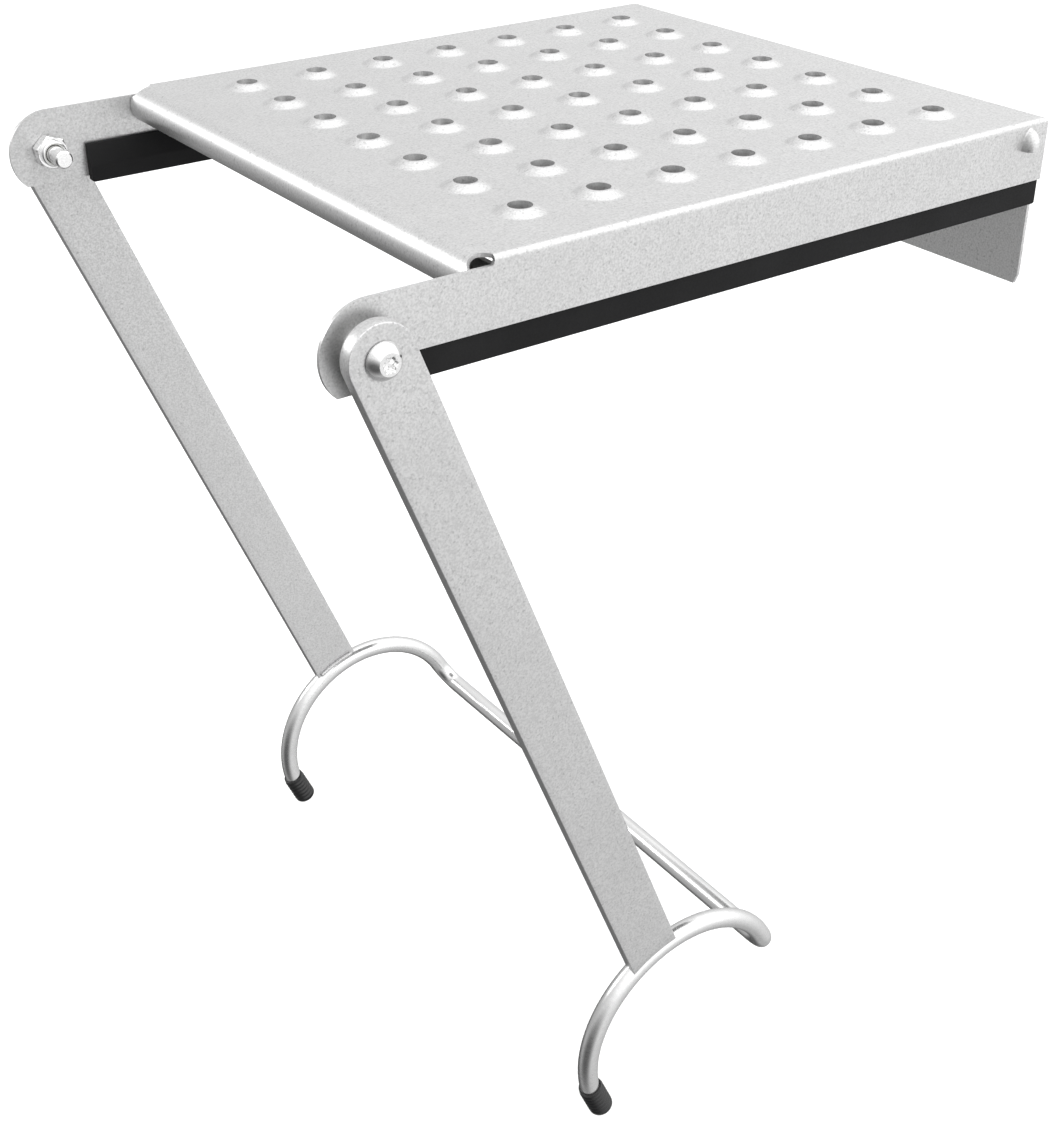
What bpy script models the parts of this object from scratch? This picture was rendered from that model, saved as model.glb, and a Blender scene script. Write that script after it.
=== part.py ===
"""Hang-on ladder step: a perforated sheet-metal tray with a folding strut frame.

+X runs from the pivot ears back to the down-turned rear plate, +Y across the tray,
+Z up. The origin is where the upper rung carries the tray: at mid-width, level with
the underside of the rubber strips. Lengths are in metres.
"""
import bmesh
import bpy
from math import asin, atan2, cos, pi, radians, sin, sqrt
from mathutils import Matrix, Vector

# driving dimensions
SHEET = 0.002                 # thickness of the tray's sheet
HALF_WIDTH = 0.1761           # tray's outer half width
DECK_TOP = 0.048              # deck surface above the strips' underside
FLANGE_BOTTOM = 0.0145        # lower edge of the side flanges
EAR_BOTTOM = 0.0024           # flat lower edge of the pivot ears
EAR_TOP = 0.0436              # upper edge of the ears ahead of the deck
EAR_STEP_X = -0.3735          # where the ear's lower edge steps up to the flange's
REAR_FACE = 0.0252            # outside of the rear plate
REAR_BOTTOM = -0.0464         # lower edge of the rear plate
REAR_HALF_WIDTH = 0.172
REAR_SLIT = 0.0006            # between the rear plate's bend and the flange's
BEND = 0.0025                 # outside radius of the sheet's bends
NOSE_RADIUS = 0.01055         # outside radius of the rolled front edge
NOSE_X = -0.3353              # axis of the rolled front edge
NOSE_HALF_WIDTH = 0.1735
RELIEF_RADIUS = 0.0076        # round notch between the rolled edge and each ear
RELIEF_X = -0.3394            # its centre
RELIEF_Y = 0.1767
EAR_HOLE_RADIUS = 0.0054
CORNER_CUT = (0.002, 0.0055)  # chamfer at the rear plate's lower corners: across, up
BUMP_X = 0.0115               # stop bump on each flange
BUMP_Z = 0.033                # its flat lower edge
BUMP_SIZE = (0.0055, 0.0066, 0.0112)   # half length, stand-out, height
HOLE_PITCH = 0.045
HOLE_COUNT = 7
HOLE_RADIUS = 0.006
DIMPLE_HEIGHT = 0.003
DIMPLE_FOOT_RADIUS = 0.0131   # at the middle of the sheet
DIMPLE_RIM_RADIUS = 0.0076
FIRST_HOLE_X = -0.29
PIVOT_X = -0.3972             # leg pivot
PIVOT_Z = 0.021
EAR_RADIUS = 0.024           # round front of the ears
EAR_X = -0.3955               # its centre, a little behind and below the pivot
EAR_Z = 0.0196
LEG_INNER_Y = 0.1824
LEG_THICKNESS = 0.0075
LEG_WIDTH = 0.0329
LEG_SLOPE = radians(21.1)     # from straight down towards the rear
FOOT_RISE = 0.003             # of the leg's end above the rod's centre line
WELD_BEAD = 0.001             # radius of the weld's bead
WELD_START = radians(101)     # its ends, inside the leg's width
WELD_END = radians(121.5)
ROD_RADIUS = 0.006
ROD_Y = 0.185                 # plane of each hook arc
ARC_X = -0.2095               # centre of the hook arcs
ARC_Z = -0.465
ARC_RADIUS = 0.0713           # to the rod's centre line
ARC_START = radians(192.6)    # where the rubber cap begins
ARC_END = radians(28.8)       # where the rod bends into the crossbar
CORNER_RADIUS = 0.016
CAP_RADIUS = 0.0076
CAP_LENGTH = 0.024
CAP_DEPTH = 0.0197            # how far the rod goes into the cap
CAP_SOFT = 0.0016             # round of its bottom edge
STRIP_THICKNESS = 0.006
STRIP_TOP = 0.0215
STRIP_FRONT = -0.3758
STRIP_REAR = 0.0262
GAP = 0.0003                  # clearance between touching pieces
OVERRUN = 0.02                # how far cutters pass what they cut

BOLT_RADIUS = 0.005
BOLT_HEAD_RADIUS = 0.00875
BOLT_HEAD_HEIGHT = 0.0055
BOLT_LENGTH = 0.04            # under the head
BOLT_FLAT = 0.0052            # radius of the flat on the head
HEAD_FULLNESS = 0.3           # side of the head: 0 a straight cone, 1 a quarter round
BOLT_TIP = 0.0008             # chamfer of its end, and the upright rim of its head
SOCKET_RADIUS = 0.0031        # middle radius of the six-lobed socket
SOCKET_LOBE = 0.0005
SOCKET_DEPTH = 0.003
SPACER_RADIUS = 0.011
BUSH_FLANGE = 0.0016
BUSH_RADIUS = 0.0065          # sleeve through the leg
NUT_FLATS = 0.017             # across the hexagon's flats
NUT_HEIGHT = 0.0064           # of the hexagon
COLLAR_RADIUS = 0.0072        # round end of the nut that holds the nylon ring
COLLAR_HEIGHT = 0.0033
INSERT_RADIUS = 0.0062
INSERT_HEIGHT = 0.0026

ARC_STEPS = 8                 # facets in a sheet bend or small round
SIDES = {"near": -1, "far": 1}
LEFT_RIGHT = {"near": "right", "far": "left"}

STEEL = ((0.72, 0.73, 0.73), 0.38, 1.0)
ZINC = ((0.82, 0.83, 0.84), 0.2, 1.0)
RUBBER = ((0.02, 0.02, 0.022), 0.7, 0.0)
NYLON = ((0.75, 0.76, 0.74), 0.5, 0.0)


def clear_scene():
    for item in list(bpy.data.objects):
        bpy.data.objects.remove(item, do_unlink=True)


def new_collection(name):
    collection = bpy.data.collections.new(name)
    bpy.context.scene.collection.children.link(collection)
    return collection


def make_material(name, look):
    """A Principled material from (colour, roughness, metallic)."""
    colour, roughness, metallic = look
    material = bpy.data.materials.new(name)
    material.use_nodes = True
    shader = material.node_tree.nodes["Principled BSDF"]
    shader.inputs["Base Color"].default_value = (*colour, 1.0)
    shader.inputs["Roughness"].default_value = roughness
    shader.inputs["Metallic"].default_value = metallic
    return material


def add_object(name, mesh, look, collection):
    item = bpy.data.objects.new(name, mesh)
    if look is not None:
        mesh.materials.append(make_material(name + "_finish", look))
    collection.objects.link(item)
    return item


def add_cutter(name, mesh):
    cutter = add_object(name, mesh, None, CUTTERS)
    cutter.hide_render = True
    cutter.display_type = "WIRE"
    return cutter


def tidy_mesh(mesh, flat_angle=radians(0.2)):
    """Weld, merge flat neighbours, and face outwards."""
    work = bmesh.new()
    work.from_mesh(mesh)
    bmesh.ops.remove_doubles(work, verts=work.verts, dist=1e-6)
    bmesh.ops.dissolve_limit(work, angle_limit=flat_angle, verts=work.verts, edges=work.edges)
    bmesh.ops.recalc_face_normals(work, faces=work.faces)
    work.to_mesh(mesh)
    work.free()


def evaluated_mesh(item):
    """The item's mesh with its modifiers or curve settings, in world space."""
    bpy.context.view_layer.update()
    graph = bpy.context.evaluated_depsgraph_get()
    mesh = bpy.data.meshes.new_from_object(item.evaluated_get(graph))
    mesh.transform(item.matrix_world)
    return mesh


def curve_mesh(curve, matrix=Matrix()):
    """Turn curve data into a welded mesh and remove the curve."""
    item = bpy.data.objects.new("curve", curve)
    bpy.context.scene.collection.objects.link(item)
    item.matrix_world = matrix
    mesh = evaluated_mesh(item)
    bpy.data.objects.remove(item, do_unlink=True)
    tidy_mesh(mesh)
    return mesh


def outline_mesh(outlines, thickness, matrix):
    """A flat plate: 2D outlines (holes as further outlines), extruded about its middle."""
    curve = bpy.data.curves.new("outline", "CURVE")
    curve.dimensions = "2D"
    curve.fill_mode = "BOTH"
    curve.extrude = thickness / 2
    for points in outlines:
        spline = curve.splines.new("POLY")
        spline.points.add(len(points) - 1)
        spline.use_cyclic_u = True
        for knot, (u, v) in zip(spline.points, points):
            knot.co = (u, v, 0.0, 1.0)
    return curve_mesh(curve, matrix)


def side_plate(outlines, middle_y, thickness):
    """A plate drawn in X and Z, lying across Y."""
    place = Matrix(((1, 0, 0, 0), (0, 0, -1, middle_y), (0, 1, 0, 0), (0, 0, 0, 1)))
    return outline_mesh(outlines, thickness, place)


def long_bar(outlines, front, rear):
    """A bar whose section is drawn in Y and Z, running from front to rear in X."""
    place = Matrix(((0, 0, 1, (front + rear) / 2), (1, 0, 0, 0), (0, 1, 0, 0), (0, 0, 0, 1)))
    return outline_mesh(outlines, rear - front, place)


def tube_mesh(path, radius, resolution):
    """A round bar along a path of points."""
    curve = bpy.data.curves.new("tube", "CURVE")
    curve.dimensions = "3D"
    curve.bevel_depth = radius
    curve.bevel_resolution = resolution
    curve.use_fill_caps = True
    curve.render_resolution_u = 0
    spline = curve.splines.new("POLY")
    spline.points.add(len(path) - 1)
    for knot, place in zip(spline.points, path):
        knot.co = (*place, 1.0)
    return curve_mesh(curve)


def turned_mesh(profile, steps, matrix):
    """A profile of (radius, height) pairs, top to bottom, turned about Z and then placed."""
    mesh = bpy.data.meshes.new("profile")
    places = [(radius, 0.0, height) for radius, height in profile]
    edges = [(i, i + 1) for i in range(len(places) - 1)]
    mesh.from_pydata(places, edges, [])
    item = bpy.data.objects.new("profile", mesh)
    bpy.context.scene.collection.objects.link(item)
    screw = item.modifiers.new("Screw", "SCREW")
    screw.steps = steps
    screw.render_steps = steps
    screw.use_merge_vertices = True
    screw.merge_threshold = 0.00001
    item.matrix_world = matrix
    turned = evaluated_mesh(item)
    bpy.data.objects.remove(item, do_unlink=True)
    tidy_mesh(turned)
    turned.shade_smooth()
    turned.set_sharp_from_angle(angle=radians(30))
    return turned


def arc(centre_x, centre_y, radius, start, end, steps):
    """Points along an arc, both ends included."""
    angles = [start + (end - start) * i / steps for i in range(steps + 1)]
    return [(centre_x + radius * cos(a), centre_y + radius * sin(a)) for a in angles]


def circle(centre_x, centre_y, radius, steps):
    return arc(centre_x, centre_y, radius, 0.0, 2 * pi, steps)[:-1]


def box_mesh(low, high):
    work = bmesh.new()
    bmesh.ops.create_cube(work, size=1.0)
    size = Vector(high) - Vector(low)
    middle = (Vector(high) + Vector(low)) / 2
    bmesh.ops.transform(work, matrix=Matrix.Translation(middle) @ Matrix.Diagonal((*size, 1.0)),
                        verts=work.verts)
    mesh = bpy.data.meshes.new("box")
    work.to_mesh(mesh)
    work.free()
    return mesh


def bar_mesh(centre, radius, length, axis, steps):
    """A plain round bar, lengthwise along the axis letter, about its centre."""
    turn = {"X": Matrix.Rotation(pi / 2, 4, "Y"), "Y": Matrix.Rotation(pi / 2, 4, "X"), "Z": Matrix()}
    work = bmesh.new()
    bmesh.ops.create_cone(work, cap_ends=True, segments=steps, radius1=radius, radius2=radius,
                          depth=length, matrix=Matrix.Translation(centre) @ turn[axis])
    mesh = bpy.data.meshes.new("bar")
    work.to_mesh(mesh)
    work.free()
    return mesh


def apply_boolean(item, cutter_mesh, operation="DIFFERENCE"):
    """Cut or join item with a mesh, and keep the result as item's mesh."""
    cutter = add_cutter(item.name + "_tool", cutter_mesh)
    change = item.modifiers.new("Boolean", "BOOLEAN")
    change.operation = operation
    change.object = cutter
    result = evaluated_mesh(item)
    item.modifiers.remove(change)
    bpy.data.objects.remove(cutter, do_unlink=True)
    item.data = result
    tidy_mesh(result)


def hole_places():
    """X and Y of every hole in the deck's square grid."""
    middle = (HOLE_COUNT - 1) / 2
    return [(FIRST_HOLE_X + HOLE_PITCH * i, HOLE_PITCH * (j - middle))
            for i in range(HOLE_COUNT) for j in range(HOLE_COUNT)]


def hole_field(radius_low, radius_high, low, high, steps=12):
    """One cone or cylinder for each hole, as a single mesh."""
    work = bmesh.new()
    for x, y in hole_places():
        place = Matrix.Translation((x, y, (low + high) / 2))
        bmesh.ops.create_cone(work, cap_ends=True, segments=steps, radius1=radius_low,
                              radius2=radius_high, depth=high - low, matrix=place)
    mesh = bpy.data.meshes.new("hole_field")
    work.to_mesh(mesh)
    work.free()
    return mesh


def channel_mesh():
    """Deck and both side flanges: a U section drawn in Y and Z, longer than the tray."""
    edge = HALF_WIDTH - BEND
    level = DECK_TOP - BEND
    under = EAR_BOTTOM - OVERRUN
    outer = [(HALF_WIDTH, under)] + arc(edge, level, BEND, 0.0, pi / 2, ARC_STEPS)
    inner = [(HALF_WIDTH - SHEET, under)] + arc(edge, level, BEND - SHEET, 0.0, pi / 2, ARC_STEPS // 2)
    left = [(-y, z) for y, z in outer]
    left_inner = [(-y, z) for y, z in inner]
    outline = outer + left[::-1] + left_inner + inner[::-1]
    return long_bar([outline], EAR_X - EAR_RADIUS - OVERRUN, REAR_FACE + OVERRUN)


def side_outline():
    """The tray from the side: ears, lower edge, rear end, and open above the deck."""
    low_angle = pi + asin((EAR_Z - EAR_BOTTOM) / EAR_RADIUS)
    high_angle = pi - asin(min((EAR_TOP - EAR_Z) / EAR_RADIUS, 1.0))
    over = DECK_TOP + OVERRUN
    bend_x = REAR_FACE - BEND
    outline = arc(EAR_X, EAR_Z, EAR_RADIUS, low_angle, high_angle, 3 * ARC_STEPS)
    outline += [(NOSE_X, EAR_TOP), (NOSE_X, over), (bend_x, over)]
    outline += arc(bend_x, DECK_TOP - BEND, BEND, pi / 2, 0.0, ARC_STEPS)
    outline += [(REAR_FACE, FLANGE_BOTTOM), (EAR_STEP_X, FLANGE_BOTTOM), (EAR_STEP_X, EAR_BOTTOM)]
    return outline


def nose_outline():
    """The rolled front edge, seen from the side, with a short lap into the deck."""
    axis_z = DECK_TOP - NOSE_RADIUS
    lap = NOSE_X + 0.012
    end = radians(350)
    steps = 3 * ARC_STEPS
    outer = arc(NOSE_X, axis_z, NOSE_RADIUS, pi / 2, end, steps)
    inner = arc(NOSE_X, axis_z, NOSE_RADIUS - SHEET, end, pi / 2, steps)
    return [(lap, DECK_TOP)] + outer + inner + [(lap, DECK_TOP - SHEET)]


def rear_outline():
    """The bend at the deck's rear edge and the plate below it, seen from the side."""
    lap = REAR_FACE - 0.012
    bend_x = REAR_FACE - BEND
    bend_z = DECK_TOP - BEND
    outer = arc(bend_x, bend_z, BEND, pi / 2, 0.0, ARC_STEPS)
    inner = arc(bend_x, bend_z, BEND - SHEET, 0.0, pi / 2, ARC_STEPS // 2)
    return ([(lap, DECK_TOP)] + outer + [(REAR_FACE, REAR_BOTTOM), (REAR_FACE - SHEET, REAR_BOTTOM)]
            + inner + [(lap, DECK_TOP - SHEET)])


def cut_hole_field(tray):
    """Raise the rims on the sheet and open the holes through them."""
    low = DECK_TOP - SHEET / 2
    high = DECK_TOP + DIMPLE_HEIGHT
    apply_boolean(tray, hole_field(DIMPLE_FOOT_RADIUS, DIMPLE_RIM_RADIUS, low, high), "UNION")
    apply_boolean(tray, hole_field(HOLE_RADIUS, HOLE_RADIUS, DECK_TOP - 2 * SHEET, high + SHEET))


def make_deck_tray():
    """One folded sheet: raised holes, flanges with ears, rolled nose, rear plate, stop bumps."""
    tray = add_object("deck_tray", channel_mesh(), STEEL, PARTS)
    apply_boolean(tray, side_plate([side_outline()], 0.0, 3 * HALF_WIDTH), "INTERSECT")
    apply_boolean(tray, nose_mesh(), "UNION")
    add_rear_plate(tray)
    cut_hole_field(tray)
    for side in SIDES.values():
        cut_front_corner(tray, side)
        cut_rear_corner(tray, side)
        apply_boolean(tray, bar_mesh((PIVOT_X, side * HALF_WIDTH, PIVOT_Z), EAR_HOLE_RADIUS, OVERRUN, "Y", 24))
        apply_boolean(tray, stop_bump(side), "UNION")
    return tray


def add_rear_plate(tray):
    """Fold the rear plate down from the deck, with a fine slit beside each end of the bend."""
    slit = REAR_HALF_WIDTH + REAR_SLIT
    low = (REAR_FACE - 2 * SHEET, -slit, DECK_TOP - 2 * SHEET)
    apply_boolean(tray, box_mesh(low, (REAR_FACE + OVERRUN, slit, DECK_TOP + OVERRUN)))
    apply_boolean(tray, side_plate([rear_outline()], 0.0, 2 * REAR_HALF_WIDTH), "UNION")


def nose_mesh():
    """The rolled edge, notched at both ends from above down to its axis."""
    nose = add_cutter("nose", side_plate([nose_outline()], 0.0, 2 * NOSE_HALF_WIDTH))
    for side in SIDES.values():
        apply_boolean(nose, relief_bar(side, DECK_TOP - NOSE_RADIUS))
    mesh = nose.data.copy()
    bpy.data.objects.remove(nose, do_unlink=True)
    return mesh


def relief_bar(side, low):
    place = (RELIEF_X, side * RELIEF_Y, low + OVERRUN / 2)
    return bar_mesh(place, RELIEF_RADIUS, OVERRUN, "Z", 24)


def cut_front_corner(tray, side):
    """Carry the rolled edge's notch into the corner of the deck, above the ear."""
    apply_boolean(tray, relief_bar(side, (DECK_TOP - BEND + EAR_TOP) / 2))


def cut_rear_corner(tray, side):
    """Let the rubber strip run out past the plate's end, and take off the lower corner."""
    inner = side * (HALF_WIDTH - SHEET - STRIP_THICKNESS - 2 * GAP)
    outer = side * (HALF_WIDTH - SHEET / 2)
    edges = sorted((inner, outer))
    low = (REAR_FACE - 2 * SHEET, edges[0], -GAP)
    high = (REAR_FACE + SHEET, edges[1], STRIP_TOP + GAP)
    apply_boolean(tray, box_mesh(low, high))
    across, rise = CORNER_CUT
    y = REAR_HALF_WIDTH - across
    corner = [(y - across, REAR_BOTTOM - rise), (y + 2 * across, REAR_BOTTOM + 2 * rise),
              (y + 5 * across, REAR_BOTTOM - rise)]
    placed = [(side * u, v) for u, v in corner]
    apply_boolean(tray, long_bar([placed], REAR_FACE - 2 * SHEET, REAR_FACE + SHEET))


def stop_bump(side):
    """A half dome pressed out of the flange, cut off flat below to stop the folded leg."""
    along, out, up = BUMP_SIZE
    root = HALF_WIDTH - SHEET / 4
    work = bmesh.new()
    place = Matrix.Translation((BUMP_X, side * root, BUMP_Z - SHEET / 8))
    bmesh.ops.create_uvsphere(work, u_segments=20, v_segments=15, radius=1.0,
                              matrix=place @ Matrix.Diagonal((along, out, up, 1.0)))
    mesh = bpy.data.meshes.new("bump")
    work.to_mesh(mesh)
    work.free()
    dome = add_cutter("dome", mesh)
    edges = sorted((side * (root - SHEET / 4), side * (root + OVERRUN)))
    keep = box_mesh((BUMP_X - OVERRUN, edges[0], BUMP_Z), (BUMP_X + OVERRUN, edges[1], BUMP_Z + OVERRUN))
    apply_boolean(dome, keep, "INTERSECT")
    half = dome.data.copy()
    bpy.data.objects.remove(dome, do_unlink=True)
    return half


def make_strip(name, side):
    """Rubber bar inside the flange, thinner along its upper edge, that rests on the rung."""
    outer = HALF_WIDTH - SHEET - GAP
    inner = outer - STRIP_THICKNESS
    soft = 0.001
    section = [(outer, 0.0), (outer, STRIP_TOP), (outer - 0.0022, STRIP_TOP), (inner, 0.009)]
    section += arc(inner + soft, soft, soft, pi, 1.5 * pi, 3)
    placed = [(side * y, z) for y, z in section]
    return add_object(name, long_bar([placed], STRIP_FRONT, STRIP_REAR), RUBBER, PARTS)


def arc_place(angle, side, radius=ARC_RADIUS, y=ROD_Y):
    return Vector((ARC_X + radius * cos(angle), side * y, ARC_Z + radius * sin(angle)))


def cap_direction():
    """Along the rod's end, out of the hook: the chord of the arc that the cap covers."""
    angle = ARC_START + CAP_LENGTH / 2 / ARC_RADIUS
    return Vector((-sin(angle), 0.0, cos(angle)))


def hook_half(side):
    """One hook: from the end inside its cap, over the arc and round the corner."""
    start = arc_place(ARC_START, side)
    path = [start + cap_direction() * CAP_DEPTH, start]
    steps = 16
    angles = [ARC_START + (ARC_END - ARC_START) * i / steps for i in range(1, steps + 1)]
    path += [arc_place(a, side) for a in angles]
    tangent = Vector((sin(ARC_END), 0.0, -cos(ARC_END)))
    inward = Vector((0.0, -side, 0.0))
    for i in range(1, 7):
        turn = pi / 2 * i / 6
        path.append(arc_place(ARC_END, side) + CORNER_RADIUS * (tangent * sin(turn) + inward * (1 - cos(turn))))
    return path


def make_hook_rod():
    """One bent rod: near hook, straight crossbar, far hook."""
    path = hook_half(-1) + list(reversed(hook_half(1)))
    rod = add_object("hook_rod", tube_mesh(path, ROD_RADIUS, 4), STEEL, PARTS)
    rod.data.shade_smooth()
    rod.data.set_sharp_from_angle(angle=radians(40))
    return rod


def make_cap(name, side):
    """Rubber cap pushed on the rod's end: a blind cup with a rounded bottom edge."""
    bore = ROD_RADIUS + GAP
    depth = CAP_DEPTH + GAP
    profile = [(0.0, -depth), (bore, -depth), (bore, 0.0), (CAP_RADIUS, 0.0)]
    profile += arc(CAP_RADIUS - CAP_SOFT, -CAP_LENGTH + CAP_SOFT, CAP_SOFT, 0.0, -pi / 2, 4)
    profile += [(0.0, -CAP_LENGTH)]
    down = cap_direction()
    turn = Vector((0.0, 0.0, -1.0)).rotation_difference(down).to_matrix().to_4x4()
    place = Matrix.Translation(arc_place(ARC_START, side)) @ turn
    return add_object(name, turned_mesh(profile, 24, place), RUBBER, PARTS)


def make_leg(name, side):
    """Flat bar with a round top about the pivot and a foot saddled over the hook rod."""
    run = Vector((sin(LEG_SLOPE), -cos(LEG_SLOPE)))
    across = Vector((run.y, -run.x))
    half = LEG_WIDTH / 2
    pivot = Vector((PIVOT_X, PIVOT_Z))
    top_start = atan2(across.y, across.x)
    top = arc(pivot.x, pivot.y, half, top_start, top_start - pi, 2 * ARC_STEPS)
    foot_radius = ARC_RADIUS + FOOT_RISE
    feet = []
    for edge in (1, -1):
        foot = pivot + across * half * edge
        to_centre = Vector((ARC_X, ARC_Z)) - foot
        along = to_centre.dot(run)
        off = to_centre.length_squared - along ** 2
        feet.append(foot + run * (along - sqrt(foot_radius ** 2 - off)))
    near_angle = atan2(feet[0].y - ARC_Z, feet[0].x - ARC_X)
    far_angle = atan2(feet[1].y - ARC_Z, feet[1].x - ARC_X)
    outline = top + arc(ARC_X, ARC_Z, foot_radius, far_angle, near_angle, ARC_STEPS)
    bore = circle(PIVOT_X, PIVOT_Z, BUSH_RADIUS + GAP, 24)
    middle = side * (LEG_INNER_Y + LEG_THICKNESS / 2)
    leg = add_object(name, side_plate([outline, bore], middle, LEG_THICKNESS), STEEL, PARTS)
    spread = 14
    angles = [radians(80) + radians(70) * i / spread for i in range(spread + 1)]
    saddle = tube_mesh([arc_place(a, side) for a in angles], ROD_RADIUS + GAP, 6)
    apply_boolean(leg, saddle)
    return leg


def make_weld(name, side):
    """Fillet bead in the corner between the leg's inner face and the rod."""
    bead_y = LEG_INNER_Y - GAP - WELD_BEAD
    reach = ROD_RADIUS + GAP + WELD_BEAD
    radius = ARC_RADIUS + sqrt(reach ** 2 - (ROD_Y - bead_y) ** 2)
    steps = 8
    angles = [WELD_START + (WELD_END - WELD_START) * i / steps for i in range(steps + 1)]
    path = [arc_place(a, side, radius, bead_y) for a in angles]
    return add_object(name, tube_mesh(path, WELD_BEAD, 2), STEEL, PARTS)


def pivot_matrix(side, distance):
    """Local +Z points outwards along the pivot; the origin is at a distance from the middle."""
    turn = Matrix.Rotation(-side * pi / 2, 4, "X")
    return Matrix.Translation((PIVOT_X, side * distance, PIVOT_Z)) @ turn


def make_bolt(name, side):
    """Bolt with a full conical head whose six-lobed socket is cut into its flat."""
    seat = LEG_INNER_Y + LEG_THICKNESS + GAP
    dome = []
    for i in range(7):
        part = i / 6
        out = part + HEAD_FULLNESS * (sin(pi / 2 * part) - part)
        up = 1 - part + HEAD_FULLNESS * (cos(pi / 2 * part) - 1 + part)
        dome.append((BOLT_FLAT + (BOLT_HEAD_RADIUS - BOLT_FLAT) * out,
                     BOLT_TIP + (BOLT_HEAD_HEIGHT - BOLT_TIP) * up))
    profile = [(0.0, BOLT_HEAD_HEIGHT)] + dome + [(BOLT_HEAD_RADIUS, 0.0), (BOLT_RADIUS, 0.0)]
    profile += [(BOLT_RADIUS, -BOLT_LENGTH + BOLT_TIP), (BOLT_RADIUS - BOLT_TIP, -BOLT_LENGTH)]
    profile += [(0.0, -BOLT_LENGTH)]
    bolt = add_object(name, turned_mesh(profile, 24, pivot_matrix(side, seat)), ZINC, PARTS)
    lobes = []
    for i in range(24):
        turn = 2 * pi * i / 24
        radius = SOCKET_RADIUS + SOCKET_LOBE * cos(6 * turn)
        lobes.append((PIVOT_X + radius * cos(turn), PIVOT_Z + radius * sin(turn)))
    socket = side_plate([lobes], side * (seat + BOLT_HEAD_HEIGHT), 2 * SOCKET_DEPTH)
    apply_boolean(bolt, socket)
    return bolt


def ring_mesh(outer, inner, height, matrix, steps=24):
    """A washer or sleeve standing on its origin."""
    profile = [(outer, height), (outer, 0.0), (inner, 0.0), (inner, height), (outer, height)]
    return turned_mesh(profile, steps, matrix)


def make_spacer(name, side):
    """Steel ring that keeps the leg clear of the ear."""
    start = HALF_WIDTH + GAP
    height = LEG_INNER_Y - GAP - BUSH_FLANGE - GAP - start
    mesh = ring_mesh(SPACER_RADIUS, BOLT_RADIUS + GAP, height, pivot_matrix(side, start))
    return add_object(name, mesh, STEEL, PARTS)


def make_bush(name, side):
    """Flanged nylon bush: the sleeve lines the leg's bore, the flange rubs on the spacer."""
    start = LEG_INNER_Y - GAP - BUSH_FLANGE
    length = BUSH_FLANGE + GAP + LEG_THICKNESS - GAP
    bore = BOLT_RADIUS + GAP
    profile = [(bore, length), (BUSH_RADIUS, length), (BUSH_RADIUS, BUSH_FLANGE), (SPACER_RADIUS, BUSH_FLANGE)]
    profile += [(SPACER_RADIUS, 0.0), (bore, 0.0), (bore, length)]
    return add_object(name, turned_mesh(profile, 24, pivot_matrix(side, start)), NYLON, PARTS)


def make_nut(name, side):
    """Lock nut: hexagon against the ear, and a round collar open for the nylon ring."""
    seat = HALF_WIDTH - SHEET - GAP
    end = seat - NUT_HEIGHT - COLLAR_HEIGHT
    corner = NUT_FLATS / 2 / cos(pi / 6)
    hexagon = circle(PIVOT_X, PIVOT_Z, corner, 6)
    nut = add_object(name, side_plate([hexagon], side * (seat - NUT_HEIGHT / 2), NUT_HEIGHT), ZINC, PARTS)
    middle = (end + seat - SHEET) / 2
    apply_boolean(nut, pivot_bar(side, middle, COLLAR_RADIUS, seat - SHEET - end), "UNION")
    apply_boolean(nut, pivot_bar(side, end, INSERT_RADIUS + GAP, 2 * (INSERT_HEIGHT + 2 * GAP)))
    apply_boolean(nut, pivot_bar(side, seat, BOLT_RADIUS + GAP, OVERRUN * 2))
    return nut


def pivot_bar(side, distance, radius, length):
    return bar_mesh((PIVOT_X, side * distance, PIVOT_Z), radius, length, "Y", 24)


def make_insert(name, side):
    """Nylon ring in the lock nut's collar."""
    start = HALF_WIDTH - SHEET - GAP - NUT_HEIGHT - COLLAR_HEIGHT + GAP
    mesh = ring_mesh(INSERT_RADIUS, BOLT_RADIUS + GAP, INSERT_HEIGHT, pivot_matrix(side, start))
    return add_object(name, mesh, NYLON, PARTS)


def main():
    make_deck_tray()
    for place, side in SIDES.items():
        hand = LEFT_RIGHT[place]
        make_strip("strip_" + hand, side)
        make_leg("leg_" + hand, side)
        make_weld("leg_weld_" + hand, side)
        make_cap("rod_cap_" + hand, side)
        make_bolt("pivot_bolt_" + hand, side)
        make_spacer("pivot_spacer_" + hand, side)
        make_bush("pivot_bush_" + hand, side)
        make_nut("lock_nut_" + hand, side)
        make_insert("nut_insert_" + hand, side)
    make_hook_rod()


clear_scene()
PARTS = new_collection("ladder_step")
CUTTERS = new_collection("cutters")
main()
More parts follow.
